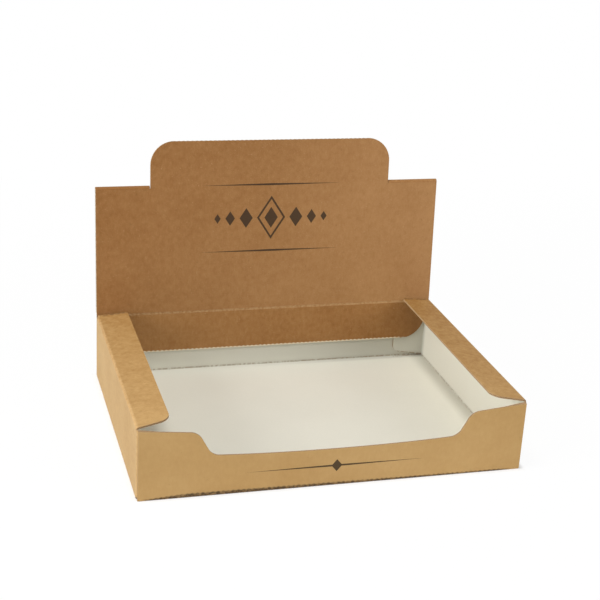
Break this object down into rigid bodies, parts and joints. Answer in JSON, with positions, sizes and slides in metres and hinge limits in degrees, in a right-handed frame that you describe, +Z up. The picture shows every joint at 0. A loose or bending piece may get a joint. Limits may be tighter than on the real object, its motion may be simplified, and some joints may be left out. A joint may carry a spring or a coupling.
{
  "type": "counter display box",
  "caption": "Shallow folded board tray with a dipped front wall, two hinged side flaps and a stand-up header panel with a raised crown.",
  "frame": {"origin": "centre of the tray's underside", "axes": "+X to the right seen from the front, +Y to the back where the header stands, +Z up"},
  "size_m": [0.3, 0.2295, 0.2052],
  "materials": {
    "kraft_board": "matt, brown outside and white inside"
  },
  "bodies": {
    "carton": {"folded_carton": "kraft_board"},
    "left_flap": {"left_side_flap": "kraft_board"},
    "right_flap": {"right_side_flap": "kraft_board"}
  },
  "joints": [
    {"name": "left_flap_fold", "type": "hinge", "parent": "carton", "child": "left_flap", "pos_m": [-0.15, 0, 0.058], "axis": [0, -1, 0], "range_deg": [0, 180]},
    {"name": "right_flap_fold", "type": "hinge", "parent": "carton", "child": "right_flap", "pos_m": [0.15, 0, 0.058], "axis": [0, 1, 0], "range_deg": [0, 180]}
  ]
}
